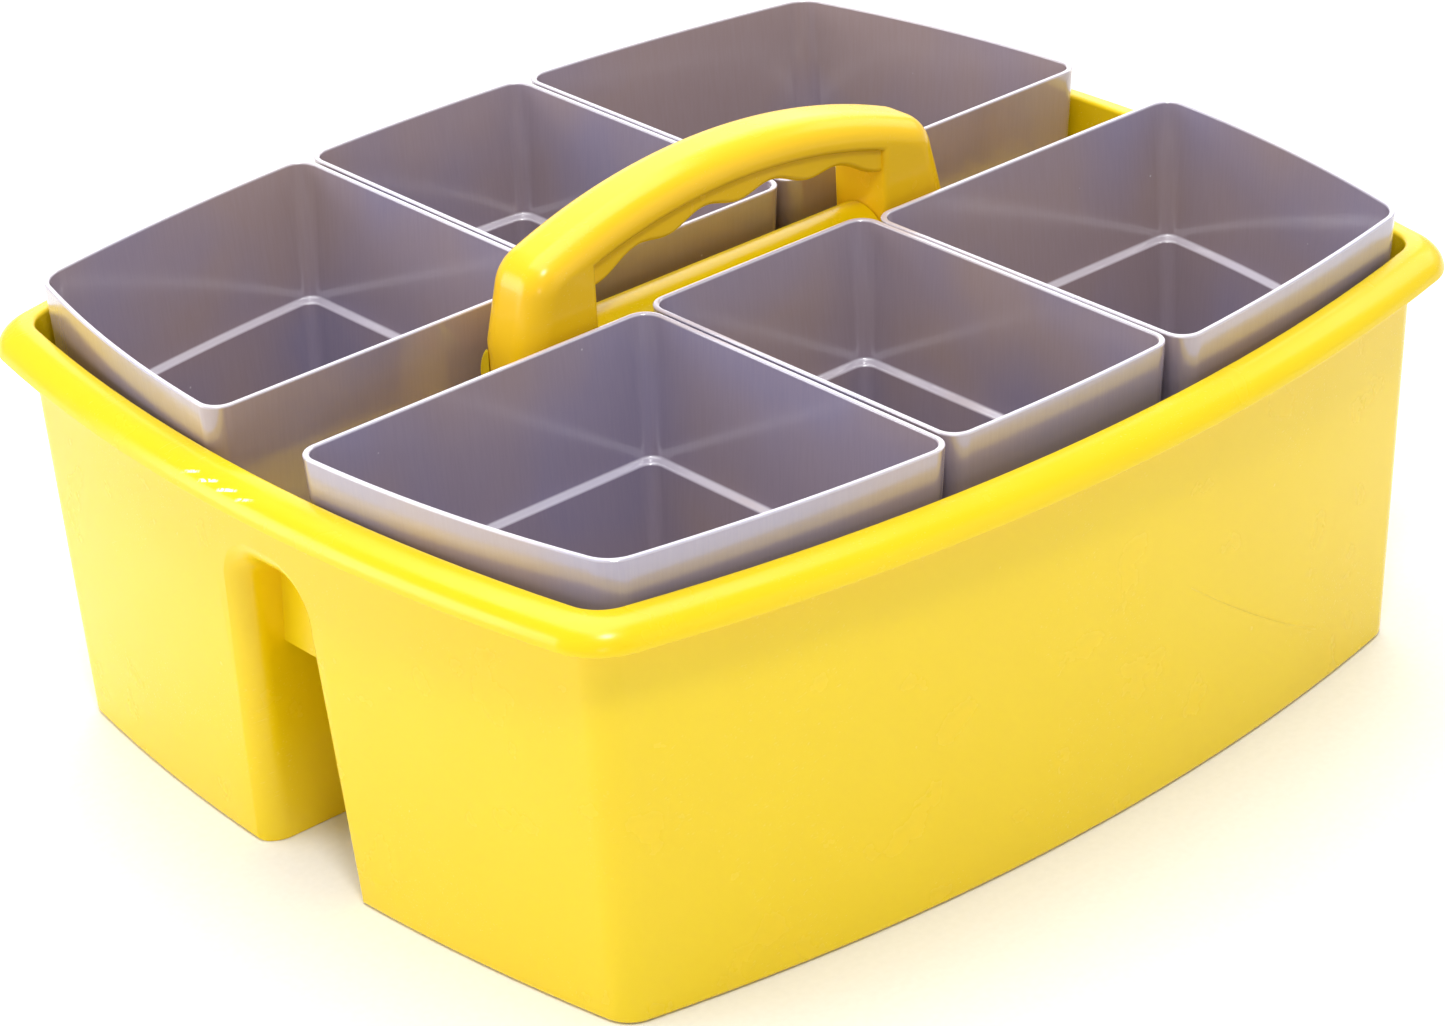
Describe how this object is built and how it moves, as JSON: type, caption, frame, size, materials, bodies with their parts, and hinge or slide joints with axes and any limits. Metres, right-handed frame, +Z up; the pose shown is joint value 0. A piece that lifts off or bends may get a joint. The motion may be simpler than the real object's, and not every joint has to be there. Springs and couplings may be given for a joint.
{
  "type": "cleaning caddy",
  "caption": "Two-bin moulded carrying tub with a rolled rim, an arched clip-in handle over the middle ridge, and stepped lift-out cups standing in both bins.",
  "frame": {"origin": "on the floor under the middle of the tub", "axes": "+X along the long side and the handle, +Y across the two bins, +Z up"},
  "size_m": [0.33, 0.2908, 0.1594],
  "materials": {
    "yellow_plastic": "glossy moulded polypropylene",
    "grey_plastic": "semi-gloss moulded polypropylene"
  },
  "bodies": {
    "caddy": {"tub": "yellow_plastic", "handle": "yellow_plastic"},
    "front_left_cup": {"front_left_cup": "grey_plastic"},
    "front_middle_cup": {"front_middle_cup": "grey_plastic"},
    "front_right_cup": {"front_right_cup": "grey_plastic"},
    "back_left_cup": {"back_left_cup": "grey_plastic"},
    "back_middle_cup": {"back_middle_cup": "grey_plastic"},
    "back_right_cup": {"back_right_cup": "grey_plastic"}
  },
  "joints": [
    {"name": "front_left_cup_lift", "type": "slide", "parent": "caddy", "child": "front_left_cup", "axis": [0, 0, 1], "range_m": [0, 0.125]},
    {"name": "front_middle_cup_lift", "type": "slide", "parent": "caddy", "child": "front_middle_cup", "axis": [0, 0, 1], "range_m": [0, 0.125]},
    {"name": "front_right_cup_lift", "type": "slide", "parent": "caddy", "child": "front_right_cup", "axis": [0, 0, 1], "range_m": [0, 0.125]},
    {"name": "back_left_cup_lift", "type": "slide", "parent": "caddy", "child": "back_left_cup", "axis": [0, 0, 1], "range_m": [0, 0.125]},
    {"name": "back_middle_cup_lift", "type": "slide", "parent": "caddy", "child": "back_middle_cup", "axis": [0, 0, 1], "range_m": [0, 0.125]},
    {"name": "back_right_cup_lift", "type": "slide", "parent": "caddy", "child": "back_right_cup", "axis": [0, 0, 1], "range_m": [0, 0.125]}
  ]
}
